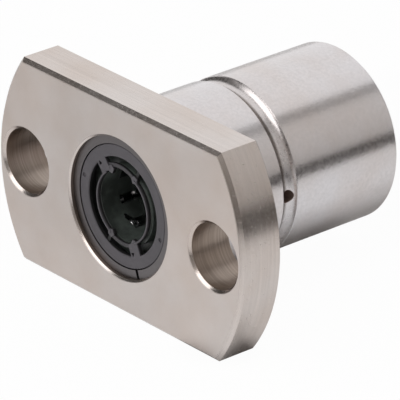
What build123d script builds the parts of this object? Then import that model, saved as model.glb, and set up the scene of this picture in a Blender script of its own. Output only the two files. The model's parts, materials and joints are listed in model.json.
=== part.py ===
from build123d import *
import math
import os

os.makedirs("parts", exist_ok=True)

# Torque-resistant linear bushing with a two-flat flange, all sizes in millimetres.
# The bore axis is Y and the origin lies on it in the seat face of the flange.
# The flange front looks along -Y and the barrel runs along +Y.

# Flange
flange_diameter = 60.0
flange_flats = 36.0
flange_thickness = 8.0
flange_edge_chamfer = 0.7
flange_back_chamfer = 0.3
mount_hole_diameter = 11.0
mount_hole_inset = 7.0
mount_hole_chamfer = 0.5

# Barrel
barrel_diameter = 30.0
barrel_length = 39.0
barrel_end_chamfer = 0.6
groove_width = 3.0
groove_depth = 1.0
groove_edge_chamfer = 0.12
lube_hole_diameter = 2.2

# Stepped bore, depths counted inwards from either end face
mouth_diameter = 23.9
mouth_chamfer = 0.35
ring_groove_depth = 0.55
ring_groove_start = 0.9
ring_groove_width = 1.05
mouth_depth = 10.6
race_bore_diameter = 14.8

# Balls and their paths
ball_diameter = 2.38
ball_pitch = 2.4
load_ball_radius = 6.69
lifted_ball_radius = 7.5
return_ball_radius = 8.6
load_angle = 63.0
return_angle = 21.0
load_ball_count = 11
return_ball_count = 12
turn_ball_count = 3
turn_ball_step = 52.0
race_clearance = 0.04
path_clearance = 0.11
cage_clearance = 0.06
turn_depth = 8.2
ramp_radius = 1.6
path_overrun = 0.8

# Cage and return caps
cage_bore_diameter = 12.3
cage_play = 0.1
cage_plug = 0.5
collar_thickness = 1.45
moulding_play = 0.08
axial_play = 0.05
return_window_width = 1.5
return_window_margin = 1.4
load_window_width = 1.9
window_depth = 5.5
window_overcut = 1.0
nose_wall = 0.6
nose_gap = 0.1
key_width = 2.4
key_height = 1.8
key_reach = 1.0
key_play = 0.1

# Retaining ring
ring_thickness = 0.95
ring_play = 0.05
ring_land = 1.45
ring_gap = 0.6
ring_gap_angle = -70.0
ring_start = 0.95

# Seal plate, thin at its inner edge with a hollow behind
seal_face_depth = 1.0
seal_back_depth = 3.4
seal_shoulder_play = 0.07
seal_plate_play = 0.1
seal_plate_width = 2.1
seal_hollow_width = 1.0
seal_web_back_depth = 1.7
seal_edge_round = 0.15

# Seal lip: side arcs, and arcs above and below that are set back a little
lip_diameter = 12.0
lip_wall = 0.32
lip_tip_depth = 0.88
lip_height = 0.8
lip_round = 0.1
top_lip_radius = 6.25
top_lip_shift = -0.9
top_lip_start = 121.0
top_lip_end = 55.0
bottom_lip_radius = 6.3
outer_lip_wall = 0.7
outer_lip_tip_depth = 1.2
tooth_width = 1.5
tooth_depth = 0.5
tooth_root_radius = 6.9
web_angles = (129.0, -66.0)
web_width = 2.3
pocket_angles = (133.0, -70.5)
pocket_radius = 7.9
pocket_size = 0.5
thin_web_width = 0.6
thin_web_depth = 1.3
dimple_diameter = 0.8
dimple_depth = 0.15
dimple_radius = 9.6
dimple_angles = (166.0, -15.0)

# Derived places along the bore axis
front_face = -flange_thickness
end_face = barrel_length
middle = (front_face + end_face) / 2
front_shoulder = front_face + mouth_depth
rear_shoulder = end_face - mouth_depth
turn_front = front_face + turn_depth
turn_rear = end_face - turn_depth
cap_face_depth = seal_back_depth + axial_play

# Derived radii
flange_radius = flange_diameter / 2
mount_hole_pitch = flange_diameter - 2 * mount_hole_inset
barrel_radius = barrel_diameter / 2
mouth_radius = mouth_diameter / 2
ring_groove_radius = mouth_radius + ring_groove_depth
race_bore_radius = race_bore_diameter / 2
ball_radius = ball_diameter / 2
race_radius = ball_radius + race_clearance
path_radius = ball_radius + path_clearance
cage_slot_radius = ball_radius + cage_clearance
cage_bore_radius = cage_bore_diameter / 2
nose_radius = cage_bore_radius + nose_wall
cage_radius = race_bore_radius - cage_play
moulding_radius = mouth_radius - moulding_play
groove_arc_radius = (groove_width**2 / 4 + groove_depth**2) / (2 * groove_depth)
groove_floor_radius = barrel_radius - groove_depth

# The ramp is an S of two equal arcs
lift = lifted_ball_radius - load_ball_radius
ramp_bend = math.acos(1 - lift / (2 * ramp_radius))
ramp_length = 2 * ramp_radius * math.sin(ramp_bend)

# The four circuits: angle of the load row and of the return row, seen from the front
circuits = {
    "upper_right": (load_angle, return_angle),
    "upper_left": (180 - load_angle, 180 - return_angle),
    "lower_left": (180 + load_angle, 180 + return_angle),
    "lower_right": (-load_angle, -return_angle),
}
load_angles = [pair[0] for pair in circuits.values()]
return_angles = [pair[1] for pair in circuits.values()]


def at(radius, angle, y):
    """Point at a radius and an angle round the bore axis."""
    turn = math.radians(angle)
    return Vector(radius * math.cos(turn), y, radius * math.sin(turn))


def station(y):
    """Cross-section plane at a place along the bore, X right and Z up."""
    return Plane.XZ.offset(-y)


def ring_cut(places, radius, start, stop):
    """Cut round channels along the bore from start to stop."""
    with BuildSketch(station(start)) as section:
        with Locations(*places):
            Circle(radius)
    extrude(section.sketch, amount=start - stop, mode=Mode.SUBTRACT)


def flat(radius, angle):
    """Place on a cross-section plane."""
    turn = math.radians(angle)
    return (radius * math.cos(turn), radius * math.sin(turn))


def slot_cut(angles, inner, outer, width, start, stop):
    """Cut radial slots of one width between two radii."""
    with BuildSketch(station(start)) as section:
        for angle in angles:
            with Locations(Location((*flat((inner + outer) / 2, angle), 0), (0, 0, angle))):
                Rectangle(outer - inner, width)
    extrude(section.sketch, amount=start - stop, mode=Mode.SUBTRACT)


def turn_frame(load, back, y):
    """Start, end and centre of the half turn between two rows."""
    start = at(lifted_ball_radius, load, y)
    stop = at(return_ball_radius, back, y)
    return start, stop, (start + stop) * 0.5


def path_cut(load, back, y, inward):
    """Cut a ball path: up the ramp, round the half turn and into the return row."""
    start, stop, centre = turn_frame(load, back, y)
    crest = centre + Vector(0, -inward * (start - centre).length, 0)
    foot = y + inward * ramp_length
    half_lift = (lifted_ball_radius + load_ball_radius) / 2
    bow = ramp_radius * (1 - math.cos(ramp_bend / 2))
    reach = inward * ramp_radius * math.sin(ramp_bend / 2)
    low_bend = at(load_ball_radius + bow, load, foot - reach)
    high_bend = at(lifted_ball_radius - bow, load, y + reach)
    with BuildLine() as path:
        Line(at(load_ball_radius, load, foot + inward * path_overrun), at(load_ball_radius, load, foot))
        ThreePointArc(at(load_ball_radius, load, foot), low_bend, at(half_lift, load, (y + foot) / 2))
        ThreePointArc(at(half_lift, load, (y + foot) / 2), high_bend, start)
        ThreePointArc(start, crest, stop)
        Line(stop, at(return_ball_radius, back, foot + inward * path_overrun))
    with BuildSketch(Plane(origin=path.line @ 0, z_dir=path.line % 0)) as section:
        Circle(path_radius)
    sweep(section.sketch, path=path.wire(), mode=Mode.SUBTRACT)


# Steel nut with its flange
with BuildPart() as flanged_nut:
    with BuildSketch(station(0)):
        Circle(flange_radius)
        Rectangle(flange_diameter, flange_flats, mode=Mode.INTERSECT)
    extrude(amount=flange_thickness)
    chamfer(flanged_nut.faces().sort_by(Axis.Y)[0].edges(), flange_edge_chamfer)
    chamfer(flanged_nut.faces().sort_by(Axis.Y)[-1].edges(), flange_back_chamfer)
    with BuildSketch(station(front_face + flange_thickness / 2)):
        Circle(barrel_radius)
    extrude(amount=-(barrel_length + flange_thickness / 2))
    chamfer(flanged_nut.faces().sort_by(Axis.Y)[-1].edges(), barrel_end_chamfer)
    # Two plain bolt holes, chamfered on the front face
    with BuildSketch(station(0)):
        with GridLocations(mount_hole_pitch, 0, 2, 1):
            Circle(mount_hole_diameter / 2)
    extrude(amount=flange_thickness, mode=Mode.SUBTRACT)
    hole_edges = flanged_nut.edges().filter_by(GeomType.CIRCLE)
    hole_edges = hole_edges.filter_by(lambda e: abs(e.radius - mount_hole_diameter / 2) < 0.01)
    chamfer(hole_edges.filter_by_position(Axis.Y, front_face - 0.01, front_face + 0.01), mount_hole_chamfer)
    # Arc-profile groove round the barrel at mid-length
    with BuildSketch(Plane.XY):
        with Locations((groove_floor_radius + groove_arc_radius, middle)):
            Circle(groove_arc_radius)
    revolve(axis=Axis.Y, mode=Mode.SUBTRACT)
    rims = flanged_nut.edges().filter_by(GeomType.CIRCLE)
    rims = rims.filter_by(lambda e: abs(e.radius - barrel_radius) < 0.01)
    chamfer(rims.filter_by_position(Axis.Y, middle - groove_width, middle + groove_width), groove_edge_chamfer)
    # Bore: two mouths, each with its chamfer and ring groove, and the narrower race bore between
    with BuildSketch(Plane.XY):
        with BuildLine():
            Polyline(
                (0, front_face),
                (mouth_radius + mouth_chamfer, front_face),
                (mouth_radius, front_face + mouth_chamfer),
                (mouth_radius, front_shoulder),
                (race_bore_radius, front_shoulder),
                (race_bore_radius, rear_shoulder),
                (mouth_radius, rear_shoulder),
                (mouth_radius, end_face - mouth_chamfer),
                (mouth_radius + mouth_chamfer, end_face),
                (0, end_face),
                close=True,
            )
        make_face()
        for groove_middle in (
            front_face + ring_groove_start + ring_groove_width / 2,
            end_face - ring_groove_start - ring_groove_width / 2,
        ):
            with Locations((ring_groove_radius / 2, groove_middle)):
                Rectangle(ring_groove_radius, ring_groove_width)
    revolve(axis=Axis.Y, mode=Mode.SUBTRACT)
    # Load raceways and return slots along the race bore
    ring_cut([flat(load_ball_radius, a) for a in load_angles], race_radius, front_shoulder, rear_shoulder)
    with BuildSketch(station(front_shoulder)):
        for angle in return_angles:
            with Locations(flat(return_ball_radius, angle)):
                Circle(path_radius)
            with Locations(Location((*flat(return_ball_radius / 2, angle), 0), (0, 0, angle))):
                Rectangle(return_ball_radius, 2 * path_radius)
    extrude(amount=front_shoulder - rear_shoulder, mode=Mode.SUBTRACT)
    # Notches for the keys of the caps, above and below the bore
    for start, stop in ((front_shoulder, front_shoulder + key_reach + key_play),
                        (rear_shoulder - key_reach - key_play, rear_shoulder)):
        slot_cut((90, -90), mouth_radius - key_height - key_play, mouth_radius, key_width + 2 * key_play, start, stop)
    # Lubrication hole from the groove into the bore
    with BuildSketch(Plane.YZ):
        with Locations((middle, 0)):
            Circle(lube_hole_diameter / 2)
    extrude(amount=barrel_radius, mode=Mode.SUBTRACT)


# Plastic cage tube with its collar at the front
collar_back = front_shoulder - axial_play
collar_front = collar_back - collar_thickness
cage_end = rear_shoulder + axial_play + cage_plug

with BuildPart() as ball_retainer:
    with BuildSketch(station(collar_back)):
        Circle(moulding_radius)
        Circle(cage_bore_radius, mode=Mode.SUBTRACT)
    extrude(amount=collar_thickness)
    with BuildSketch(station(collar_back)):
        Circle(cage_radius)
        Circle(cage_bore_radius, mode=Mode.SUBTRACT)
    extrude(amount=collar_back - cage_end)
    # Load channels, open inwards less than a ball
    ring_cut([flat(load_ball_radius, a) for a in load_angles], cage_slot_radius, collar_back, cage_end)
    # Ball paths through the collar and the narrow windows below the return rows
    for load, back in circuits.values():
        path_cut(load, back, turn_front, 1)
    slot_cut(return_angles, cage_bore_radius - window_overcut, return_ball_radius, return_window_width,
             collar_front, rear_shoulder - return_window_margin)
    slot_cut((90, -90), mouth_radius - key_height - key_play, mouth_radius, key_width + 2 * key_play,
             collar_front, collar_back)


# Front return cap
front_cap_face = front_face + cap_face_depth
front_cap_back = collar_front - axial_play
nose_length = cap_face_depth - seal_web_back_depth - nose_gap

with BuildPart() as front_return_cap:
    with BuildSketch(station(front_cap_back)):
        Circle(moulding_radius)
        Circle(cage_bore_radius, mode=Mode.SUBTRACT)
    extrude(amount=front_cap_back - front_cap_face)
    # Nose that carries the bore wall forward behind the lip of the seal
    with BuildSketch(station(front_cap_face)):
        Circle(nose_radius)
        Circle(cage_bore_radius, mode=Mode.SUBTRACT)
    extrude(amount=nose_length)
    for load, back in circuits.values():
        path_cut(load, back, turn_front, 1)
    slot_cut(load_angles, cage_bore_radius - window_overcut, lifted_ball_radius, load_window_width,
             front_face + window_depth, front_cap_back)
    slot_cut(return_angles, cage_bore_radius - window_overcut, return_ball_radius, return_window_width,
             front_face + window_depth, front_cap_back)
    # Keys that pass the collar and enter the nut
    with BuildSketch(station(front_cap_back)):
        for side in (1, -1):
            with Locations((0, side * (moulding_radius - key_height / 2))):
                Rectangle(key_width, key_height)
        Circle(moulding_radius, mode=Mode.INTERSECT)
    extrude(amount=front_cap_back - front_shoulder - key_reach)


# Rear return cap, with a socket for the end of the cage
rear_cap_face = end_face - cap_face_depth
rear_cap_front = rear_shoulder + axial_play

with BuildPart() as rear_return_cap:
    with BuildSketch(station(rear_cap_front)):
        Circle(moulding_radius)
        Circle(cage_bore_radius, mode=Mode.SUBTRACT)
    extrude(amount=rear_cap_front - rear_cap_face)
    with BuildSketch(station(rear_cap_face)):
        Circle(nose_radius)
        Circle(cage_bore_radius, mode=Mode.SUBTRACT)
    extrude(amount=-nose_length)
    with BuildSketch(station(rear_cap_front)):
        Circle(cage_radius + moulding_play)
    extrude(amount=-(cage_plug + axial_play), mode=Mode.SUBTRACT)
    for load, back in circuits.values():
        path_cut(load, back, turn_rear, -1)
    slot_cut(load_angles, cage_bore_radius - window_overcut, lifted_ball_radius, load_window_width,
             rear_cap_front, end_face - window_depth)
    slot_cut(return_angles, cage_bore_radius - window_overcut, return_ball_radius, return_window_width,
             rear_cap_front, end_face - window_depth)
    with BuildSketch(station(rear_shoulder - key_reach)):
        for side in (1, -1):
            with Locations((0, side * (moulding_radius - key_height / 2))):
                Rectangle(key_width, key_height)
        Circle(moulding_radius, mode=Mode.INTERSECT)
    extrude(amount=rear_shoulder - key_reach - rear_cap_front)


# Flat C-shaped retaining ring, its gap at the lower right
ring_radius = ring_groove_radius - ring_play

with BuildPart() as front_retaining_ring:
    with BuildSketch(station(front_face + ring_start)):
        Circle(ring_radius)
        Circle(mouth_radius - ring_land, mode=Mode.SUBTRACT)
        with Locations(Location((*flat(mouth_radius, ring_gap_angle), 0), (0, 0, ring_gap_angle))):
            Rectangle(2 * (ring_radius - mouth_radius + ring_land), ring_gap, mode=Mode.SUBTRACT)
    extrude(amount=-ring_thickness)


# Seal: stepped plate, a lip that follows the shaft, four teeth, and webs between lip and plate
plate_radius = mouth_radius - ring_land - seal_plate_play
opening_radius = plate_radius - seal_plate_width
hollow_radius = plate_radius - seal_hollow_width
lip_radius = lip_diameter / 2
seal_face = front_face + seal_face_depth
seal_back = front_face + seal_back_depth
seal_shoulder = front_face + ring_start + ring_thickness + seal_shoulder_play
web_back = front_face + seal_web_back_depth


def lip_arc(first, last, inner, wall, tip_depth, shift=0):
    """Turn a round-edged lip profile from one angle down to the next."""
    outwards = at(1, first, 0)
    tip = front_face + tip_depth
    back = min(tip + lip_height, web_back)
    with BuildSketch(Plane(origin=(shift, 0, 0), x_dir=outwards, z_dir=(-outwards.Z, 0, outwards.X))) as section:
        with Locations((inner + wall / 2, (tip + back) / 2)):
            RectangleRounded(wall, back - tip, lip_round)
    revolve(section.sketch, axis=Axis((shift, 0, 0), (0, 1, 0)), revolution_arc=first - last)


def web(angle, width, start):
    """Join the lip to the plate at one angle."""
    inner = lip_radius + lip_wall / 2
    outer = opening_radius + 2 * seal_edge_round
    with BuildSketch(station(web_back)) as section:
        with Locations(Location((*flat((inner + outer) / 2, angle), 0), (0, 0, angle))):
            Rectangle(outer - inner, width)
    extrude(section.sketch, amount=web_back - start)


with BuildPart() as front_seal:
    with BuildSketch(Plane.XY):
        with BuildLine():
            Polyline(
                (opening_radius, web_back),
                (opening_radius, seal_face + seal_edge_round),
                (opening_radius + seal_edge_round, seal_face),
                (plate_radius - seal_edge_round, seal_face),
                (plate_radius, seal_face + seal_edge_round),
                (plate_radius, seal_shoulder),
                (moulding_radius, seal_shoulder),
                (moulding_radius, seal_back),
                (hollow_radius, seal_back),
                (hollow_radius, web_back),
                close=True,
            )
        make_face()
    revolve(axis=Axis.Y)
    # Lip: long thin arcs at the sides, wider ones above and below
    lip_arc(load_angle, -load_angle, lip_radius, lip_wall, lip_tip_depth)
    lip_arc(180 + load_angle, web_angles[0], lip_radius, lip_wall, lip_tip_depth)
    lip_arc(top_lip_start, top_lip_end, top_lip_radius, outer_lip_wall, outer_lip_tip_depth, top_lip_shift)
    lip_arc(-load_angle, load_angle - 180, bottom_lip_radius, outer_lip_wall, outer_lip_tip_depth)
    # Teeth that reach into the ball grooves of the shaft
    with BuildSketch(station(web_back)):
        for angle in load_angles:
            half = math.degrees(tooth_width / 2 / lip_radius)
            with BuildLine():
                Polyline(
                    flat(lip_radius - tooth_depth, angle),
                    flat(lip_radius + lip_wall / 2, angle - half),
                    flat(tooth_root_radius, angle - half / 2),
                    flat(tooth_root_radius, angle + half / 2),
                    flat(lip_radius + lip_wall / 2, angle + half),
                    close=True,
                )
            make_face()
    extrude(amount=web_back - front_face - (lip_tip_depth + outer_lip_tip_depth) / 2)
    # Broad webs level with the plate, thin ones set back
    for angle in web_angles:
        web(angle, web_width, seal_face)
    for angle in (load_angle, 180 + load_angle):
        web(angle, thin_web_width, front_face + thin_web_depth)
    # Small openings where the broad webs meet the plate
    with BuildSketch(station(seal_face)):
        for angle in pocket_angles:
            with Locations(Location((*flat(pocket_radius, angle), 0), (0, 0, angle))):
                RegularPolygon(pocket_size, 3)
    extrude(amount=seal_face - web_back, mode=Mode.SUBTRACT)
    # Two moulding dimples in the plate
    with BuildSketch(station(seal_face)):
        with Locations(*[flat(dimple_radius, angle) for angle in dimple_angles]):
            Circle(dimple_diameter / 2)
    extrude(amount=-dimple_depth, mode=Mode.SUBTRACT)


# The rear ring and seal are the front ones turned end for end
with BuildPart() as rear_retaining_ring:
    with Locations(Location((0, 2 * middle, 0), (0, 0, 180))):
        add(front_retaining_ring.part)

with BuildPart() as rear_seal:
    with Locations(Location((0, 2 * middle, 0), (0, 0, 180))):
        add(front_seal.part)


for name, piece in (
    ("flanged_nut", flanged_nut),
    ("ball_retainer", ball_retainer),
    ("front_return_cap", front_return_cap),
    ("rear_return_cap", rear_return_cap),
    ("front_seal", front_seal),
    ("rear_seal", rear_seal),
    ("front_retaining_ring", front_retaining_ring),
    ("rear_retaining_ring", rear_retaining_ring),
):
    piece.part.label = name
    export_step(piece.part, f"parts/{name}.step")


# Ball rows, one node for each stretch of a circuit that moves as one
def row_places(radius, angle, count):
    """Ball centres of a straight row about mid-length."""
    first = middle - (count - 1) * ball_pitch / 2
    return [at(radius, angle, first + i * ball_pitch) for i in range(count)]


def turn_places(load, back, y, inward):
    """Ball centres along a half turn."""
    start, stop, centre = turn_frame(load, back, y)
    arm = (start - centre).length
    first = 90 - (turn_ball_count - 1) * turn_ball_step / 2
    places = []
    for i in range(turn_ball_count):
        phi = math.radians(first + i * turn_ball_step)
        side = (start - centre).normalized() * (arm * math.cos(phi))
        places.append(centre + side + Vector(0, -inward, 0) * (arm * math.sin(phi)))
    return places


for circuit, (load, back) in circuits.items():
    rows = {
        f"load_balls_{circuit}": row_places(load_ball_radius, load, load_ball_count),
        f"return_balls_{circuit}": row_places(return_ball_radius, back, return_ball_count),
        f"front_turn_balls_{circuit}": turn_places(load, back, turn_front, 1),
        f"rear_turn_balls_{circuit}": turn_places(load, back, turn_rear, -1),
    }
    for name, places in rows.items():
        with BuildPart() as balls:
            with Locations(*places):
                Sphere(ball_radius)
        balls.part.label = name
        export_step(balls.part, f"parts/{name}.step")
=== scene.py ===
"""Looks for a torque-resistant linear bushing, laid out as a Blender add-on and run as a script."""

import json
import math

import bmesh
import bpy
from mathutils import Matrix, Vector


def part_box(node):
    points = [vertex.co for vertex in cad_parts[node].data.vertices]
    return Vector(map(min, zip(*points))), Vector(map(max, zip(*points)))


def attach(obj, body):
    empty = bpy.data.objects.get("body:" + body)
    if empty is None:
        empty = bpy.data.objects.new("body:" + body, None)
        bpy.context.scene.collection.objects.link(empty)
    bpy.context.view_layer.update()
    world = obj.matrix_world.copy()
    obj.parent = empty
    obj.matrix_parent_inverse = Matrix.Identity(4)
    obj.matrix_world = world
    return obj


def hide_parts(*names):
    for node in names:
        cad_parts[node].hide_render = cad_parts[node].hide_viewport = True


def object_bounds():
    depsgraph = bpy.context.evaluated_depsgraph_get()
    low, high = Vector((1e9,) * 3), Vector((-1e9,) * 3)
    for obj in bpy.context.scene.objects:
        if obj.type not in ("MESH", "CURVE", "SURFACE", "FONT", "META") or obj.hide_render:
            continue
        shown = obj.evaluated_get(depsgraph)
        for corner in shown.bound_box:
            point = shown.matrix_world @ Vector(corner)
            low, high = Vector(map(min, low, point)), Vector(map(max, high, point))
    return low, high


bl_info = {
    "name": "Linear Bushing Looks",
    "version": (1, 0, 0),
    "blender": (4, 5, 0),
    "location": "View3D > Sidebar > Bushing",
    "description": "Finishes, balls and studio for a flanged ball spline bushing",
    "category": "Object",
}

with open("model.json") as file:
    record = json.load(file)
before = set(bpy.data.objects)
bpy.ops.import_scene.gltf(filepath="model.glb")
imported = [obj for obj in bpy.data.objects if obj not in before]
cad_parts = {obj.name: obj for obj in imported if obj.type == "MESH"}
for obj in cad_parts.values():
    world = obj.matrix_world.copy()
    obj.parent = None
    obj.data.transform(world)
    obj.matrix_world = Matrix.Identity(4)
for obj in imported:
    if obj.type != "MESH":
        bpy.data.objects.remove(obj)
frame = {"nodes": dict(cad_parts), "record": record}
CAD_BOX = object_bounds()
NODES = frame["nodes"]
MM = 0.001
WHITE = (1, 1, 1, 1)

# Where the CAD part's surfaces lie. Each limit stands a little off its wall, so that it holds the whole wall.
MOUNTS = {mount["name"]: mount for mount in frame["record"]["mounts"]}
FACE_PLACE = CAD_BOX[0].y
FACE_LIMIT = FACE_PLACE + 0.1 * MM
SEAT_LIMIT = 0.05 * MM
END_LIMIT = CAD_BOX[1].y - 0.05 * MM
MIDDLE = (CAD_BOX[0].y + CAD_BOX[1].y) / 2
HOLE_PLACE = MOUNTS["flange_bolts"]["dims"]["spacing_x_mm"] / 2 * MM
HOLE_RADIUS = (MOUNTS["flange_bolts"]["dims"]["hole_r_mm"] + 0.05) * MM
PORT_PLACE = MOUNTS["lubrication_port"]["pos_m"][1]
PORT_RADIUS = (MOUNTS["lubrication_port"]["dims"]["r_mm"] + 0.03) * MM
BARREL_RADIUS = (MOUNTS["barrel"]["dims"]["r_mm"] - 0.05) * MM
MOUTH_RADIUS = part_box("front_seal")[1].x + 0.1 * MM

# Patterns too fine to show: the real grain, pits, orange peel and fibre are a few hundredths of a millimetre
# across. Each is drawn as coarse as it needs to show, with this many blotches to the metre.
GRAIN = 2.5 / MM
MOTTLE = 1.8 / MM
RUBBER_PEEL = 1.5 / MM
ACETAL_PEEL = 1.2 / MM
FIBRE = 0.3 / MM

# Patterns at their real size: grease in patches of 1 mm on the balls and in smears of 4 mm on rubber and
# plastic, clouds of film 14 mm across, and grinding lines 25 mm long
BALL_FILM = 0.9 / MM
SMEARS = 0.26 / MM
CLOUDS = 0.07 / MM
LINE_LENGTH = 25 * MM

# Faces round each ball
BALL_SEGMENTS = 40

# Places of a Mix node's sockets, because several of them share a name
SHARE = 0
FIRST = 2
SECOND = 3
FIRST_COLOUR = 6
SECOND_COLOUR = 7
MIXED_COLOUR = 2


def linear(hex_code):
    """Linear RGB of an sRGB hex colour."""
    channels = [int(hex_code[i : i + 2], 16) / 255 for i in (0, 2, 4)]
    return tuple(c / 12.92 if c <= 0.04045 else ((c + 0.055) / 1.055) ** 2.4 for c in channels)


def colour(label, note, hex_code):
    """A colour property."""
    return bpy.props.FloatVectorProperty(
        name=label, description=note, subtype="COLOR", size=3, min=0, max=1, default=linear(hex_code)
    )


def length(label, note, millimetres, least=0.0):
    """A length property, given in millimetres and kept in metres."""
    return bpy.props.FloatProperty(
        name=label, description=note, unit="LENGTH", min=least * MM, default=millimetres * MM, precision=5
    )


def angle(label, note, degrees):
    """An angle property, given in degrees."""
    return bpy.props.FloatProperty(
        name=label, description=note, subtype="ANGLE", default=math.radians(degrees)
    )


class BushingFinish(bpy.types.PropertyGroup):
    steel: colour("Flange steel", "Bearing steel of the flange, ground and bare", "D4CCC8")
    barrel: colour("Barrel steel", "The same steel, finely ground", "DCD9DB")
    drilled: colour("Drilled steel", "Walls of the drilled holes and the bore, with a brown film", "A3978E")
    # Painted shade: the groove's front corner is drawn darker, for the shadow of its front wall
    groove_corner_shade: colour("Groove corner", "Front corner of the groove, dull with old grease", "938E8A")
    port: colour("Lubrication hole", "Wall of the lubrication hole, brown with old grease", "BCAAA2")
    film: colour("Film", "Thin warm film that clouds the bare steel, as a share of its colour", "F6F0EB")
    ring: colour("Ring steel", "Spring steel of the retaining rings, oiled", "6E6A6B")
    seal: colour("Seal rubber", "Moulded nitrile rubber of the seals", "59565B")
    # Painted shade: the rubber below the plate is drawn near black, for the shadow in the deep slots
    slot_shade: colour("Greased rubber", "The same rubber inside its slots, dark with grease", "1E1D1E")
    cage: colour("Cage plastic", "Moulded acetal of the cage and the caps", "3A3F3C")
    ball: colour("Ball steel", "Polished chrome steel of the balls", "E2E2E4")
    line_spacing: length("Grinding lines", "Distance between grinding lines, coarser than real ones", 0.35)


class BushingStudio(bpy.types.PropertyGroup):
    azimuth: angle("Azimuth", "Camera angle round the part", 48.835)
    elevation: angle("Elevation", "Camera angle above the horizon", 25.384)
    roll: angle("Roll", "Camera turn about its own line of sight", 0.443)
    distance: length("Distance", "Camera distance from the origin", 787.3)
    shift_right: length("Slide right", "Camera slide to its right", 7.056, least=-100.0)
    shift_up: length("Slide up", "Camera slide upwards", -0.867, least=-100.0)
    lens: bpy.props.FloatProperty(
        name="Lens", description="Focal length on a 36 mm sensor", unit="CAMERA", default=444.7
    )
    floor: colour("Paper", "White paper the part stands on", "F4F4F4")
    # Painted shadow on the paper under the barrel
    painted_shadow: colour("Grey card", "Grey card under the barrel", "D4D2D0")
    # Painted shadow on the paper at the right foot of the flange
    shade: colour("Shade card", "Dark card on the paper at the right foot of the flange", "6E6B68")
    side_wall: colour("Side wall", "Lit wall to the right", "F2EFEC")
    top_wall: colour("Top wall", "Dimmer upper part of that wall", "C8C5C3")
    gap: colour("Gap", "Dark gap between the paper and the side wall", "524F4C")
    front_wall: colour("Dim walls", "Walls behind the camera, to the left and behind the part", "5E5B58")
    front_side: colour("Front wall, right", "Lighter right part of the wall behind the camera", "D0CCC8")
    room: length("Room", "Distance of the walls from the part", 1200.0)
    glow_top: length("Glow top", "Height up to which the side wall is lit", 2000.0)
    side_top: length("Side wall top", "Height of the side wall above the part", 3800.0)
    wall_top: length("Wall top", "Height of the front and left walls above the part", 5600.0)
    gap_start: length("Gap start", "Where the paper ends, to the right of the part", 128.0)
    gap_height: length("Gap height", "How far the dark gap climbs the side wall", 112.0)
    lamp_size: length("Soft box", "Side of the square soft box", 800.0)
    lamp_power: bpy.props.FloatProperty(
        name="Soft box power", description="Power of the soft box", unit="POWER", min=0, default=4.0
    )


def node(tree, kind, inputs=None, **settings):
    """Add a shader or geometry node, set it up and link it."""
    made = tree.nodes.new(kind)
    for key, value in settings.items():
        setattr(made, key, value)
    for key, value in (inputs or {}).items():
        socket = made.inputs[key]
        if isinstance(value, bpy.types.NodeSocket):
            tree.links.new(value, socket)
        else:
            socket.default_value = value
    return made


def blank_material(name):
    """A material with an empty node tree, and that tree."""
    made = bpy.data.materials.new(name)
    made.use_nodes = True
    tree = made.node_tree
    tree.nodes.clear()
    return made, tree


def close_material(tree, shader):
    """Link a shader to the material's output."""
    node(tree, "ShaderNodeOutputMaterial", {"Surface": shader})


def place(tree):
    """Object coordinates of the shaded point, in metres."""
    return node(tree, "ShaderNodeTexCoord").outputs["Object"]


def steel_zones(tree, at):
    """Masks from 0 to 1 for the nut's surfaces, which were made in different ways."""
    axes = node(tree, "ShaderNodeSeparateXYZ", {"Vector": at}).outputs
    from_axis = node(tree, "ShaderNodeVectorMath", {0: at, 1: (1, 0, 1)}, operation="MULTIPLY").outputs[0]
    # Both bolt holes are tested at once, by folding the left half over the right
    folded = node(tree, "ShaderNodeVectorMath", {0: from_axis}, operation="ABSOLUTE").outputs[0]
    hole = (HOLE_PLACE, 0, 0)
    from_hole = node(tree, "ShaderNodeVectorMath", {0: folded, 1: hole}, operation="SUBTRACT").outputs[0]
    # The lubrication hole runs along X, and only in the right half
    port = (0, PORT_PLACE, 0)
    from_port = node(tree, "ShaderNodeVectorMath", {0: at, 1: port}, operation="SUBTRACT").outputs[0]
    off_line = node(tree, "ShaderNodeVectorMath", {0: from_port, 1: (0, 1, 1)}, operation="MULTIPLY")
    reach = {}
    for name, vector in (("axis", from_axis), ("hole", from_hole), ("port", off_line.outputs[0])):
        reach[name] = node(tree, "ShaderNodeVectorMath", {0: vector}, operation="LENGTH").outputs["Value"]
    zones = {}
    for name, value, test, limit in (
        ("face", axes["Y"], "LESS_THAN", FACE_LIMIT),
        ("barrel", axes["Y"], "GREATER_THAN", SEAT_LIMIT),
        ("end", axes["Y"], "GREATER_THAN", END_LIMIT),
        ("right half", axes["X"], "GREATER_THAN", 0.0),
        ("within barrel", reach["axis"], "LESS_THAN", BARREL_RADIUS),
        ("bore", reach["axis"], "LESS_THAN", MOUTH_RADIUS),
        ("bolt holes", reach["hole"], "LESS_THAN", HOLE_RADIUS),
        ("port line", reach["port"], "LESS_THAN", PORT_RADIUS),
    ):
        zones[name] = node(tree, "ShaderNodeMath", {0: value, 1: limit}, operation=test).outputs[0]
    # Painted shade: the groove's front part is drawn darker, fully up to near its middle and fading out just
    # past it
    shade_start = PORT_PLACE + 0.1 * MM
    shade_full = PORT_PLACE - 0.5 * MM
    front = node(tree, "ShaderNodeMapRange", {"Value": axes["Y"], "From Min": shade_start, "From Max": shade_full})
    zones["groove front"] = front.outputs[0]
    for name, one, other, rule in (
        ("flat ends", "face", "end", "MAXIMUM"),
        ("groove", "within barrel", "barrel", "MINIMUM"),
        ("drilled", "bore", "bolt holes", "MAXIMUM"),
        ("port", "port line", "right half", "MULTIPLY"),
        ("corner", "groove", "groove front", "MULTIPLY"),
    ):
        pair = {0: zones[one], 1: zones[other]}
        zones[name] = node(tree, "ShaderNodeMath", pair, operation=rule).outputs[0]
    return zones


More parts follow.
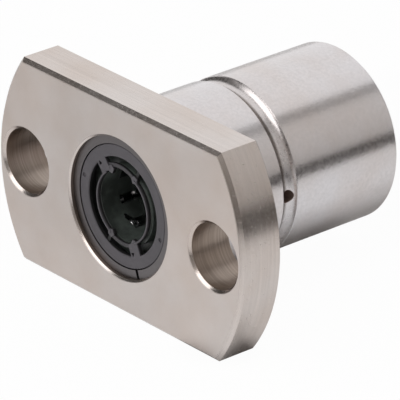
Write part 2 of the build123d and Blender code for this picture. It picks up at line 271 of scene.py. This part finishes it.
def steel_patterns(tree, at, zones, finish):
    """Grain, mottling and clouds of film, and streaks: mottling on the barrel and lines elsewhere."""
    spacing = (1 / LINE_LENGTH, 1 / finish.line_spacing, 1 / LINE_LENGTH)
    stretched = node(tree, "ShaderNodeMapping", {"Vector": at, "Scale": spacing}).outputs[0]
    patterns = {}
    for name, vector, scale, detail, roughness in (
        ("lines", stretched, 1.0, 4.0, 0.6),
        ("grain", at, GRAIN, 2.0, 0.5),
        ("mottle", at, MOTTLE, 3.0, 0.6),
        ("clouds", at, CLOUDS, 4.0, 0.55),
    ):
        settings = {"Vector": vector, "Scale": scale, "Detail": detail, "Roughness": roughness}
        patterns[name] = node(tree, "ShaderNodeTexNoise", settings).outputs[0]
    choice = {SHARE: zones["barrel"], FIRST: patterns["lines"], SECOND: patterns["mottle"]}
    patterns["streaks"] = node(tree, "ShaderNodeMix", choice).outputs[0]
    return patterns


def steel_colour(tree, zones, patterns, finish):
    """A tone for each surface, clouded by the warm film and shaded by the streaks."""
    tone = (*finish.steel, 1)
    for zone, own in (
        ("barrel", finish.barrel),
        ("drilled", finish.drilled),
        # Painted shade in the groove's front corner
        ("corner", finish.groove_corner_shade),
        ("port", finish.port),
    ):
        layer = {SHARE: zones[zone], FIRST_COLOUR: tone, SECOND_COLOUR: (*own, 1)}
        tone = node(tree, "ShaderNodeMix", layer, data_type="RGBA").outputs[MIXED_COLOUR]
    film = node(tree, "ShaderNodeMapRange", {"Value": patterns["clouds"], "From Min": 0.35, "From Max": 0.7})
    clouded = {SHARE: film.outputs[0], FIRST_COLOUR: WHITE, SECOND_COLOUR: (*finish.film, 1)}
    filmed = node(tree, "ShaderNodeMix", clouded, data_type="RGBA")
    # The drill's rings are deeper than the grinding lines
    darkest = node(tree, "ShaderNodeMix", {SHARE: zones["drilled"], FIRST: 0.91, SECOND: 0.84})
    lightest = node(tree, "ShaderNodeMix", {SHARE: zones["drilled"], FIRST: 1.0, SECOND: 1.14})
    streaked = node(
        tree,
        "ShaderNodeMapRange",
        {
            "Value": patterns["streaks"],
            "From Min": 0.35,
            "From Max": 0.65,
            "To Min": darkest.outputs[0],
            "To Max": lightest.outputs[0],
        },
    )
    for shade in (filmed.outputs[MIXED_COLOUR], streaked.outputs[0]):
        layer = {SHARE: 1.0, FIRST_COLOUR: tone, SECOND_COLOUR: shade}
        shaded = node(tree, "ShaderNodeMix", layer, data_type="RGBA", blend_type="MULTIPLY")
        tone = shaded.outputs[MIXED_COLOUR]
    return tone


def steel_roughness(tree, zones, patterns):
    """Roughness: satin where ground, a little more in the groove, most on the flat ends and in the port."""
    ground = node(
        tree,
        "ShaderNodeMapRange",
        {"Value": patterns["mottle"], "From Min": 0.3, "From Max": 0.7, "To Min": 0.17, "To Max": 0.25},
    )
    flange_extra = 0.03
    extra = flange_extra
    for zone, own in (("barrel", 0.0), ("groove", 0.08)):
        extra = node(tree, "ShaderNodeMix", {SHARE: zones[zone], FIRST: extra, SECOND: own}).outputs[0]
    rough = node(tree, "ShaderNodeMath", {0: ground.outputs[0], 1: extra}, operation="ADD").outputs[0]
    matte = node(tree, "ShaderNodeMapRange", {"Value": patterns["grain"], "To Min": 0.38, "To Max": 0.5})
    for zone, own in (("drilled", 0.36), ("flat ends", matte.outputs[0]), ("port", 0.7)):
        rough = node(tree, "ShaderNodeMix", {SHARE: zones[zone], FIRST: rough, SECOND: own}).outputs[0]
    return rough


def steel_relief(tree, zones, patterns):
    """Bump of the lines, pits and grain, each as deep as its surface has them."""
    choice = {SHARE: zones["flat ends"], FIRST: patterns["streaks"], SECOND: patterns["grain"]}
    height = node(tree, "ShaderNodeMix", choice).outputs[0]
    flange_depth = 0.0015 * MM
    depth = flange_depth
    for zone, own in (
        ("drilled", 0.02 * MM),
        ("barrel", 0.012 * MM),
        ("groove", 0.002 * MM),
        ("end", 0.0015 * MM),
    ):
        depth = node(tree, "ShaderNodeMix", {SHARE: zones[zone], FIRST: depth, SECOND: own}).outputs[0]
    return node(tree, "ShaderNodeBump", {"Height": height, "Strength": 1.0, "Distance": depth}).outputs[0]


def ground_steel(finish):
    """Hardened bearing steel, ground outside, drilled in the holes and turned in the groove."""
    # Grinding leaves a pale, slightly warm grey with a satin shine: long soft reflections on the barrel, fine
    # lines round the flange, a matte face, a brighter groove, and brown film and rings in the drilled holes.
    # Real grinding lines are a few hundredths of a millimetre apart, too fine to show, so they are drawn as
    # coarse as the property Grinding lines says.
    made, tree = blank_material("ground bearing steel")
    at = place(tree)
    zones = steel_zones(tree, at)
    patterns = steel_patterns(tree, at, zones, finish)
    shader = node(
        tree,
        "ShaderNodeBsdfPrincipled",
        {
            "Base Color": steel_colour(tree, zones, patterns, finish),
            "Metallic": 1.0,
            "Roughness": steel_roughness(tree, zones, patterns),
            "Normal": steel_relief(tree, zones, patterns),
        },
    )
    close_material(tree, shader.outputs[0])
    return made


def spring_steel(finish):
    """Spring steel, stamped, tumbled and oiled."""
    # Tumbling dulls it and the oil darkens it, so it shows as a dark grey line with a low, uneven shine.
    # The pits of tumbling are too fine to show, and are drawn half a millimetre across.
    made, tree = blank_material("oiled spring steel")
    pits = node(tree, "ShaderNodeTexNoise", {"Vector": place(tree), "Scale": MOTTLE, "Detail": 3.0})
    sheen = node(tree, "ShaderNodeMapRange", {"Value": pits.outputs[0], "To Min": 0.34, "To Max": 0.5})
    bump = node(tree, "ShaderNodeBump", {"Height": pits.outputs[0], "Strength": 0.2, "Distance": 0.01 * MM})
    shader = node(
        tree,
        "ShaderNodeBsdfPrincipled",
        {
            "Base Color": (*finish.ring, 1),
            "Metallic": 1.0,
            "Roughness": sheen.outputs[0],
            "Normal": bump.outputs[0],
        },
    )
    close_material(tree, shader.outputs[0])
    return made


def moulded(name, outer, inner, peel_scale, smooth, dull, smear_and_sheen):
    """A moulded part: orange peel from its tool, smears of grease, and an inner tone away from its faces."""
    made, tree = blank_material(name)
    at = place(tree)
    peel = node(tree, "ShaderNodeTexNoise", {"Vector": at, "Scale": peel_scale, "Detail": 3.0})
    sheen = node(tree, "ShaderNodeMapRange", {"Value": peel.outputs[0], "To Min": smooth, "To Max": dull})
    bump = node(tree, "ShaderNodeBump", {"Height": peel.outputs[0], "Strength": 0.25, "Distance": 0.02 * MM})
    # The inner tone starts below the plate of either seal, measured from the middle of the part. On the
    # rubber it is painted shade
    along = node(tree, "ShaderNodeSeparateXYZ", {"Vector": at}).outputs["Y"]
    from_middle = node(tree, "ShaderNodeMath", {0: along, 1: MIDDLE}, operation="SUBTRACT")
    either_way = node(tree, "ShaderNodeMath", {0: from_middle.outputs[0]}, operation="ABSOLUTE")
    plate = MIDDLE - FACE_PLACE - 1.08 * MM
    below_plate = MIDDLE - FACE_PLACE - 1.3 * MM
    sunk = node(
        tree,
        "ShaderNodeMapRange",
        {"Value": either_way.outputs[0], "From Min": plate, "From Max": below_plate},
    )
    tones = {SHARE: sunk.outputs[0], FIRST_COLOUR: (*outer, 1), SECOND_COLOUR: (*inner, 1)}
    tone = node(tree, "ShaderNodeMix", tones, data_type="RGBA")
    # Smears of grease: darker stains on the rubber, and lighter patches of painted sheen on the plastic
    smear = {"Vector": at, "Scale": SMEARS, "Detail": 5.0, "Roughness": 0.6}
    smears = node(tree, "ShaderNodeTexNoise", smear)
    smear_and_sheen_range = node(
        tree,
        "ShaderNodeMapRange",
        {
            "Value": smears.outputs[0],
            "From Min": 0.42,
            "From Max": 0.68,
            "To Min": 1.0,
            "To Max": smear_and_sheen,
        },
    )
    smear_and_sheen_layer = {SHARE: 1.0, FIRST_COLOUR: tone.outputs[MIXED_COLOUR], SECOND_COLOUR: smear_and_sheen_range.outputs[0]}
    smear_and_sheen_tone = node(tree, "ShaderNodeMix", smear_and_sheen_layer, data_type="RGBA", blend_type="MULTIPLY")
    shader = node(
        tree,
        "ShaderNodeBsdfPrincipled",
        {
            "Base Color": smear_and_sheen_tone.outputs[MIXED_COLOUR],
            "Roughness": sheen.outputs[0],
            "Normal": bump.outputs[0],
        },
    )
    close_material(tree, shader.outputs[0])
    return made


def nitrile_rubber(finish):
    """Nitrile rubber of the seals, pressed in a mould."""
    # Rubber scatters light, so the plate is an even, dull dark grey with no highlight. In its slots it is
    # almost black, which is painted shade of the deep slots. Its orange peel is too fine to show, and is
    # drawn 0.7 mm across.
    return moulded(
        "moulded nitrile rubber",
        outer=finish.seal,
        inner=finish.slot_shade,
        peel_scale=RUBBER_PEEL,
        smooth=0.5,
        dull=0.7,
        smear_and_sheen=0.88,
    )


def black_acetal(finish):
    """Black acetal of the cage and the caps, injection moulded."""
    # Acetal is waxy and smooth, so the dark bore wall has soft highlights. The smears of grease on it are
    # drawn lighter
    # than the plastic: painted sheen of a grease film. Its orange peel is too fine to show, and is drawn 0.8
    # mm across.
    return moulded(
        "moulded black acetal",
        outer=finish.cage,
        inner=finish.cage,
        peel_scale=ACETAL_PEEL,
        smooth=0.22,
        dull=0.45,
        smear_and_sheen=2.6,
    )


def polished_steel(finish):
    """Chrome steel of the balls, lapped and polished."""
    # Lapped balls mirror their surroundings, so each is a small bright glint, softened by a film of grease.
    made, tree = blank_material("polished chrome steel")
    film = node(tree, "ShaderNodeTexNoise", {"Vector": place(tree), "Scale": BALL_FILM, "Detail": 2.0})
    sheen = node(tree, "ShaderNodeMapRange", {"Value": film.outputs[0], "To Min": 0.12, "To Max": 0.25})
    shader = node(
        tree,
        "ShaderNodeBsdfPrincipled",
        {"Base Color": (*finish.ball, 1), "Metallic": 1.0, "Roughness": sheen.outputs[0]},
    )
    close_material(tree, shader.outputs[0])
    return made


def fibrous(tree, at, tone):
    """Dull shader of paper or board, with a faint fibre drawn coarser than the real one."""
    fibre = node(tree, "ShaderNodeTexNoise", {"Vector": at, "Scale": FIBRE, "Detail": 2.0})
    bump = node(tree, "ShaderNodeBump", {"Height": fibre.outputs[0], "Strength": 0.05, "Distance": 0.1 * MM})
    return node(
        tree,
        "ShaderNodeBsdfPrincipled",
        {"Base Color": tone, "Roughness": 0.8, "Normal": bump.outputs[0]},
    )


def matt_board(name, tone, glow=0.0):
    """Matt painted board of the studio, lit from behind where it has a glow."""
    # The camera never sees a board: it shows as an even band, light or dark, mirrored in the steel.
    made, tree = blank_material(name)
    board = fibrous(tree, place(tree), (*tone, 1))
    board.inputs["Emission Color"].default_value = (*tone, 1)
    board.inputs["Emission Strength"].default_value = glow
    close_material(tree, board.outputs[0])
    return made


def paper_floor(studio):
    """White paper with painted shadows: a grey one under the barrel and a dark one at the right foot of the
    flange.
    """
    # Paper scatters light evenly. The camera sees it almost plain white, with a faint shadow of the part. The
    # steel mirrors painted light from it, a glow in front of the part and to its right, painted shadows under
    # the barrel and at the flange's foot, and grey paper elsewhere.
    made, tree = blank_material("matt white paper")
    at = place(tree)
    axes = node(tree, "ShaderNodeSeparateXYZ", {"Vector": at}).outputs
    painted_shadow_middle = -15 * MM
    from_painted_shadow = node(tree, "ShaderNodeMath", {0: axes["X"], 1: painted_shadow_middle}, operation="SUBTRACT")
    aside = node(tree, "ShaderNodeMath", {0: from_painted_shadow.outputs[0]}, operation="ABSOLUTE")
    ground = CAD_BOX[0].z
    foot = (20 * MM, -4 * MM, ground)
    front = (10 * MM, -15 * MM, ground)
    from_foot = node(tree, "ShaderNodeVectorMath", {0: at, 1: foot}, operation="DISTANCE")
    from_front = node(tree, "ShaderNodeVectorMath", {0: at, 1: front}, operation="DISTANCE")
    # Soft edges on the paper: where each starts and stops, in millimetres, and its strength at either place
    edges = {}
    for name, value, start, stop, first, last in (
        ("beside barrel", aside.outputs[0], 31, 21, 0.0, 1.0),
        ("behind face", axes["Y"], -8, 0, 0.0, 1.0),
        ("shade card", from_foot.outputs["Value"], 8.5, 4, 0.0, 0.78),
        ("to the right", axes["X"], 8, 28, 0.0, 0.55),
        ("behind flange", axes["Y"], -4, 4, 0.0, 1.0),
        ("in front", axes["Y"], 0, -12, 0.0, 1.0),
        ("fading", from_front.outputs["Value"], 20, 90, 0.85, 0.3),
    ):
        edge = node(
            tree,
            "ShaderNodeMapRange",
            {
                "Value": value,
                "From Min": start * MM,
                "From Max": stop * MM,
                "To Min": first,
                "To Max": last,
            },
            interpolation_type="SMOOTHSTEP",
        )
        edges[name] = edge.outputs[0]
    uncovered = node(tree, "ShaderNodeMath", {0: 1.0, 1: edges["shade card"]}, operation="SUBTRACT")
    edges["open paper"] = uncovered.outputs[0]
    for name, one, other, rule in (
        ("grey card", "beside barrel", "behind face", "MULTIPLY"),
        ("right glow", "to the right", "behind flange", "MULTIPLY"),
        ("front glow", "in front", "fading", "MULTIPLY"),
        ("both glows", "right glow", "front glow", "MAXIMUM"),
        ("glow", "both glows", "open paper", "MULTIPLY"),
    ):
        pair = {0: edges[one], 1: edges[other]}
        edges[name] = node(tree, "ShaderNodeMath", pair, operation=rule).outputs[0]
    tone = (*studio.floor, 1)
    # Painted shadows on the paper: a grey one under the barrel and a dark one at the flange's foot
    for painted_shadow, own in (("grey card", studio.painted_shadow), ("shade card", studio.shade)):
        layer = {SHARE: edges[painted_shadow], FIRST_COLOUR: tone, SECOND_COLOUR: (*own, 1)}
        tone = node(tree, "ShaderNodeMix", layer, data_type="RGBA").outputs[MIXED_COLOUR]
    sheet = fibrous(tree, at, tone)
    white = node(tree, "ShaderNodeEmission", {"Color": WHITE, "Strength": 1.0})
    ray = node(tree, "ShaderNodeLightPath").outputs
    mirrored = {0: ray["Is Glossy Ray"], 1: ray["Is Transmission Ray"]}
    in_mirror = node(tree, "ShaderNodeMath", mirrored, operation="MAXIMUM")
    # Painted light: the glow shows only in the steel's reflections, never to the camera
    seen_glow = {0: in_mirror.outputs[0], 1: edges["glow"]}
    glow = node(tree, "ShaderNodeMath", seen_glow, operation="MULTIPLY")
    # The rest of the paper's own look keeps the part's shadow in the camera's view
    plain_white = 0.97
    seen = {0: ray["Is Camera Ray"], 1: plain_white, 2: glow.outputs[0]}
    share = node(tree, "ShaderNodeMath", seen, operation="MULTIPLY_ADD")
    mixed = node(tree, "ShaderNodeMixShader", {0: share.outputs[0], 1: sheet.outputs[0], 2: white.outputs[0]})
    close_material(tree, mixed.outputs[0])
    return made


def ball_centres(mesh):
    """Centre of each loose ball of a CAD node, and the radius they share."""
    # A CAD node's mesh is loose triangles, so the balls hold together only in a merged copy of it
    shape = bmesh.new()
    shape.from_mesh(mesh)
    bmesh.ops.remove_doubles(shape, verts=shape.verts, dist=0.001 * MM)
    waiting = set(shape.verts)
    centres = []
    across = 0.0
    while waiting:
        ball = [waiting.pop()]
        for vert in ball:
            for edge in vert.link_edges:
                other = edge.other_vert(vert)
                if other in waiting:
                    waiting.remove(other)
                    ball.append(other)
        low = Vector([min(vert.co[i] for vert in ball) for i in range(3)])
        high = Vector([max(vert.co[i] for vert in ball) for i in range(3)])
        centres.append((low + high) / 2)
        across = max(across, *(high - low))
    shape.free()
    # A set has no order of its own, so the centres are sorted to come out the same each run
    return sorted(centres, key=tuple), across / 2


def ball_tree():
    """Geometry nodes that put a smooth ball on every point."""
    tree = bpy.data.node_groups.new("ball row", "GeometryNodeTree")
    for name, kind in (
        ("Geometry", "NodeSocketGeometry"),
        ("Radius", "NodeSocketFloat"),
        ("Segments", "NodeSocketInt"),
        ("Material", "NodeSocketMaterial"),
    ):
        tree.interface.new_socket(name, in_out="INPUT", socket_type=kind)
    tree.interface.new_socket("Geometry", in_out="OUTPUT", socket_type="NodeSocketGeometry")
    given = node(tree, "NodeGroupInput").outputs
    half = node(tree, "ShaderNodeMath", {0: given["Segments"], 1: 2.0}, operation="DIVIDE")
    ball = node(
        tree,
        "GeometryNodeMeshUVSphere",
        {"Segments": given["Segments"], "Rings": half.outputs[0], "Radius": given["Radius"]},
    )
    smooth = node(tree, "GeometryNodeSetShadeSmooth", {0: ball.outputs["Mesh"]})
    placed = {"Points": given["Geometry"], "Instance": smooth.outputs[0]}
    row = node(tree, "GeometryNodeInstanceOnPoints", placed)
    solid = node(tree, "GeometryNodeRealizeInstances", {0: row.outputs[0]})
    dressed = node(tree, "GeometryNodeSetMaterial", {0: solid.outputs[0], "Material": given["Material"]})
    node(tree, "NodeGroupOutput", {"Geometry": dressed.outputs[0]})
    return tree


def set_inputs(modifier, **values):
    """Set the inputs of a geometry nodes modifier, found by name and set by identifier."""
    for item in modifier.node_group.interface.items_tree:
        if item.in_out == "INPUT" and item.name in values:
            modifier[item.identifier] = values[item.name]


def dress(names, material):
    """Give CAD nodes a finish."""
    for name in names:
        mesh = NODES[name].data
        mesh.materials.clear()
        mesh.materials.append(material)


class BUSHING_OT_nut(bpy.types.Operator):
    """Finish the steel nut"""

    bl_idname = "bushing.nut"
    bl_label = "Nut"

    def execute(self, context):
        dress(["flanged_nut"], ground_steel(context.scene.bushing_finish))
        return {"FINISHED"}


class BUSHING_OT_rings(bpy.types.Operator):
    """Finish the retaining rings"""

    bl_idname = "bushing.rings"
    bl_label = "Retaining rings"

    def execute(self, context):
        dress(["front_retaining_ring", "rear_retaining_ring"], spring_steel(context.scene.bushing_finish))
        return {"FINISHED"}


class BUSHING_OT_seals(bpy.types.Operator):
    """Finish the seals"""

    bl_idname = "bushing.seals"
    bl_label = "Seals"

    def execute(self, context):
        dress(["front_seal", "rear_seal"], nitrile_rubber(context.scene.bushing_finish))
        return {"FINISHED"}


class BUSHING_OT_cage(bpy.types.Operator):
    """Finish the cage and the return caps"""

    bl_idname = "bushing.cage"
    bl_label = "Cage and caps"

    def execute(self, context):
        acetal = black_acetal(context.scene.bushing_finish)
        dress(["ball_retainer", "front_return_cap", "rear_return_cap"], acetal)
        return {"FINISHED"}


class BUSHING_OT_balls(bpy.types.Operator):
    """Put a smooth polished ball in each place of every row"""

    bl_idname = "bushing.balls"
    bl_label = "Balls"

    def execute(self, context):
        steel = polished_steel(context.scene.bushing_finish)
        tree = ball_tree()
        for body, names in frame["record"]["behaviour"]["bodies"].items():
            for name in names:
                if "_balls_" in name:
                    self.row(context, body, name, tree, steel)
        return {"FINISHED"}

    def row(self, context, body, name, tree, steel):
        """Replace one CAD node with balls on its own centres."""
        centres, radius = ball_centres(NODES[name].data)
        points = bpy.data.meshes.new(name + "_points")
        points.from_pydata(centres, [], [])
        seed = bpy.data.objects.new(name + "_points", points)
        context.scene.collection.objects.link(seed)
        modifier = seed.modifiers.new("ball row", "NODES")
        modifier.node_group = tree
        set_inputs(modifier, Radius=radius, Segments=BALL_SEGMENTS, Material=steel)
        context.view_layer.update()
        done = seed.evaluated_get(context.evaluated_depsgraph_get())
        mesh = bpy.data.meshes.new_from_object(done)
        bpy.data.objects.remove(seed)
        mesh.name = name + "_polished"
        balls = bpy.data.objects.new(name + "_polished", mesh)
        context.scene.collection.objects.link(balls)
        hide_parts(name)
        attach(balls, body)


class BUSHING_OT_studio(bpy.types.Operator):
    """Paper, boards, sky, soft box and camera"""

    bl_idname = "bushing.studio"
    bl_label = "Studio"

    def execute(self, context):
        studio = context.scene.bushing_studio
        self.boards(context, studio)
        self.sky(context)
        self.lamp(context, studio)
        self.camera(context, studio)
        return {"FINISHED"}

    def board(self, context, name, material, low, high):
        """A flat board between two corners. Only the paper shows to the camera."""
        # One of the board's three sizes is nothing
        spans = [Vector([high[i] - low[i] if i == axis else 0 for i in range(3)]) for axis in range(3)]
        first, second = [span for span in spans if span.length > 0]
        low = Vector(low)
        mesh = bpy.data.meshes.new(name)
        mesh.from_pydata([low, low + first, low + first + second, low + second], [], [(0, 1, 2, 3)])
        mesh.materials.append(material)
        made_board = bpy.data.objects.new(name, mesh)
        made_board.visible_camera = name == "paper"
        context.scene.collection.objects.link(made_board)
        return made_board

    def boards(self, context, studio):
        """Paper below, a dark gap and a lit wall to the right, and dim walls on the other three sides."""
        lit_strength = 0.17
        paper = paper_floor(studio)
        lit = matt_board("lit grey board", studio.side_wall, lit_strength)
        grey = matt_board("grey board", studio.top_wall)
        dim = matt_board("dim board", studio.front_wall)
        pale = matt_board("pale board", studio.front_side)
        black = matt_board("black board", studio.gap)
        ground = CAD_BOX[0].z
        edge = studio.gap_start
        wall = studio.room
        glow = studio.glow_top
        top = studio.wall_top
        gap_top = ground + studio.gap_height
        # Far ends of the walls, and edges of the two lower boards behind the part, which meet at the seam
        far_left = -wall * 3
        far_back = wall * 5
        left_end = wall * 0.1
        rear_left = -wall * 0.8
        rear_seam = -wall * 0.2
        rear_right = wall * 0.5
        low_top = wall * 0.5
        high_top = wall * 0.87
        self.board(context, "paper", paper, (-wall, -wall, ground), (edge, wall, ground))
        self.board(context, "gap", black, (edge, -wall, ground), (wall, wall, ground))
        self.board(context, "gap_wall", black, (wall, -wall, ground), (wall, far_back, gap_top))
        self.board(context, "side_wall", lit, (wall, -wall, gap_top), (wall, far_back, glow))
        self.board(context, "top_wall", grey, (wall, -wall, glow), (wall, far_back, studio.side_top))
        self.board(context, "front_wall", dim, (far_left, -wall, ground), (0, -wall, top))
        self.board(context, "front_side", pale, (0, -wall, ground), (wall, -wall, top))
        self.board(context, "left_wall", dim, (far_left, -wall, ground), (far_left, left_end, top))
        self.board(context, "rear_wall", dim, (rear_left, wall, ground), (rear_seam, wall, low_top))
        self.board(context, "rear_side", dim, (rear_seam, wall, ground), (rear_right, wall, high_top))

    def sky(self, context):
        """White all round, a little less for matt surfaces."""
        full = 1.0
        on_matt = 0.8
        world = bpy.data.worlds.new("studio")
        world.use_nodes = True
        tree = world.node_tree
        tree.nodes.clear()
        context.scene.world = world
        ray = node(tree, "ShaderNodeLightPath").outputs
        soft = node(tree, "ShaderNodeMix", {SHARE: ray["Is Diffuse Ray"], FIRST: full, SECOND: on_matt})
        white = node(tree, "ShaderNodeBackground", {"Color": WHITE, "Strength": soft.outputs[0]})
        node(tree, "ShaderNodeOutputWorld", {"Surface": white.outputs[0]})

    def lamp(self, context, studio):
        """One soft box above and in front of the part."""
        light = bpy.data.lights.new("soft box", "AREA")
        light.shape = "SQUARE"
        light.size = studio.lamp_size
        light.energy = studio.lamp_power
        box = bpy.data.objects.new("soft box", light)
        spot = Vector((-0.1, -0.6, 0.6))
        box.location = spot
        box.rotation_mode = "QUATERNION"
        box.rotation_quaternion = (-spot).to_track_quat("-Z", "Y")
        context.scene.collection.objects.link(box)

    def camera(self, context, studio):
        """The photograph's own view, found from the part's outline."""
        around, above, roll = studio.azimuth, studio.elevation, studio.roll
        flat = math.cos(above)
        back = Vector((math.sin(around) * flat, -math.cos(around) * flat, math.sin(above)))
        flat_right = Vector((math.cos(around), math.sin(around), 0))
        flat_up = back.cross(flat_right)
        right = flat_right * math.cos(roll) + flat_up * math.sin(roll)
        up = flat_up * math.cos(roll) - flat_right * math.sin(roll)
        lens = bpy.data.cameras.new("camera")
        lens.sensor_width = 36
        lens.lens = studio.lens
        lens.clip_start = 0.05
        lens.clip_end = 20
        camera = bpy.data.objects.new("camera", lens)
        spot = back * studio.distance + right * studio.shift_right + up * studio.shift_up
        turn = Matrix((right, up, back)).transposed().to_4x4()
        camera.matrix_world = Matrix.Translation(spot) @ turn
        context.scene.collection.objects.link(camera)
        context.scene.camera = camera
        context.scene.view_settings.view_transform = "Standard"


class BUSHING_PT_panel(bpy.types.Panel):
    """Steps that dress the bushing"""

    bl_idname = "BUSHING_PT_panel"
    bl_label = "Linear bushing"
    bl_space_type = "VIEW_3D"
    bl_region_type = "UI"
    bl_category = "Bushing"

    def draw(self, context):
        for group in (context.scene.bushing_finish, context.scene.bushing_studio):
            box = self.layout.box()
            for key in group.__annotations__:
                box.prop(group, key)
        for step in STEPS:
            self.layout.operator(step.bl_idname)


STEPS = (
    BUSHING_OT_nut,
    BUSHING_OT_rings,
    BUSHING_OT_seals,
    BUSHING_OT_cage,
    BUSHING_OT_balls,
    BUSHING_OT_studio,
)
CLASSES = (BushingFinish, BushingStudio, *STEPS, BUSHING_PT_panel)


def register():
    for cls in CLASSES:
        bpy.utils.register_class(cls)
    bpy.types.Scene.bushing_finish = bpy.props.PointerProperty(type=BushingFinish)
    bpy.types.Scene.bushing_studio = bpy.props.PointerProperty(type=BushingStudio)


def unregister():
    del bpy.types.Scene.bushing_studio
    del bpy.types.Scene.bushing_finish
    for cls in reversed(CLASSES):
        bpy.utils.unregister_class(cls)


def main():
    """Run the steps in order."""
    register()
    bpy.ops.bushing.nut()
    bpy.ops.bushing.rings()
    bpy.ops.bushing.seals()
    bpy.ops.bushing.cage()
    bpy.ops.bushing.balls()
    bpy.ops.bushing.studio()
    bpy.context.view_layer.update()


if __name__ == "__main__":
    main()
